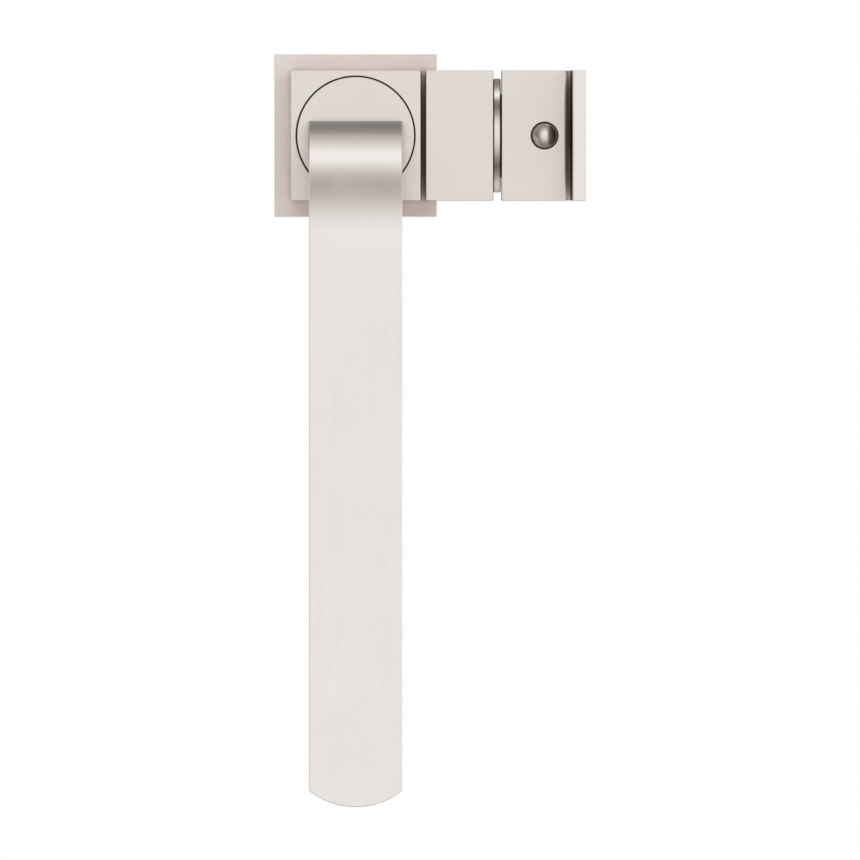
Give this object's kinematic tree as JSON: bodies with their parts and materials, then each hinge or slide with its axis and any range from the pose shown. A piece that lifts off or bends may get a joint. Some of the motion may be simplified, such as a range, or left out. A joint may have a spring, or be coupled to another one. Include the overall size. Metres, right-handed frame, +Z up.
{
  "type": "tilt turn handle",
  "caption": "Lockable tilt and turn window handle: flat bar lever on a square rose, with a side arm that carries a turning lock knob and push button.",
  "frame": {"origin": "where the spindle axis meets the window face: centre of the rose's back face", "axes": "+Y along the spindle into the window, +Z up with the lever hanging towards -Z, +X to the right for a person in the room, along the lock arm"},
  "size_m": [0.0669, 0.0928, 0.1613],
  "materials": {
    "brushed_nickel": "satin brushed nickel look on stainless steel, fine straight grain",
    "polished_nickel": "polished nickel, softly worn",
    "dark_steel": "darkened stainless steel, fine ground",
    "black_steel": "black oxide, slightly oily",
    "zinc_steel": "zinc plated steel",
    "polished_steel": "ground and polished hard steel",
    "spring_steel": "drawn spring wire",
    "brass_parts": "turned brass",
    "bearing_polymer": "natural acetal bearing plastic",
    "seal_rubber": "matt black rubber"
  },
  "bodies": {
    "base": {"rose_plate": "brushed_nickel", "rose_gasket": "seal_rubber", "fixing_screws": "zinc_steel", "housing": "brushed_nickel", "housing_grub_screw": "black_steel", "front_bush": "bearing_polymer", "rear_bush": "bearing_polymer", "detent_body": "black_steel", "detent_ball": "polished_steel", "detent_spring": "spring_steel", "arm_spacer": "dark_steel", "arm_dowel_pins": "polished_steel", "arm_nipple": "brass_parts", "lock_body": "brushed_nickel", "neck_ring": "polished_nickel"},
    "lever": {"lever_strap": "brushed_nickel", "lever_disc": "brushed_nickel", "lever_hub": "zinc_steel", "lever_screw": "black_steel", "hub_dowel_pins": "polished_steel", "hub_nut": "zinc_steel", "wave_washer": "spring_steel", "square_spindle": "zinc_steel", "spindle_pin": "polished_steel"},
    "knob": {"lock_knob": "brushed_nickel", "lock_shaft": "brass_parts", "shaft_o_ring": "seal_rubber", "knob_washer": "bearing_polymer", "knob_grub_screw": "black_steel", "button_spring": "spring_steel", "button_plug": "dark_steel"},
    "button": {"release_button": "polished_nickel"},
    "bolt": {"lock_bolt": "polished_steel", "bolt_key_pin": "polished_steel"}
  },
  "joints": [
    {"name": "lever_turn", "type": "hinge", "parent": "base", "child": "lever", "pos_m": [0, 0, 0], "axis": [0, 1, 0], "range_deg": [0, 180], "deforming": ["detent_ball", "detent_spring"]},
    {"name": "lock_knob_turn", "type": "hinge", "parent": "base", "child": "knob", "pos_m": [0.04, -0.02, 0], "axis": [1, 0, 0], "range_deg": [0, 90]},
    {"name": "button_press", "type": "slide", "parent": "knob", "child": "button", "axis": [0, 1, 0], "range_m": [0, 0.0012], "stiffness_N_per_m": 1500, "springref_m": -0.002, "deforming": ["button_spring"]},
    {"name": "bolt_slide", "type": "slide", "parent": "base", "child": "bolt", "axis": [-1, 0, 0], "range_m": [0, 0.0026]}
  ],
  "couplings": [
    {"joint": "bolt_slide", "follows": "lock_knob_turn", "m_per_rad": 0.0015915}
  ]
}
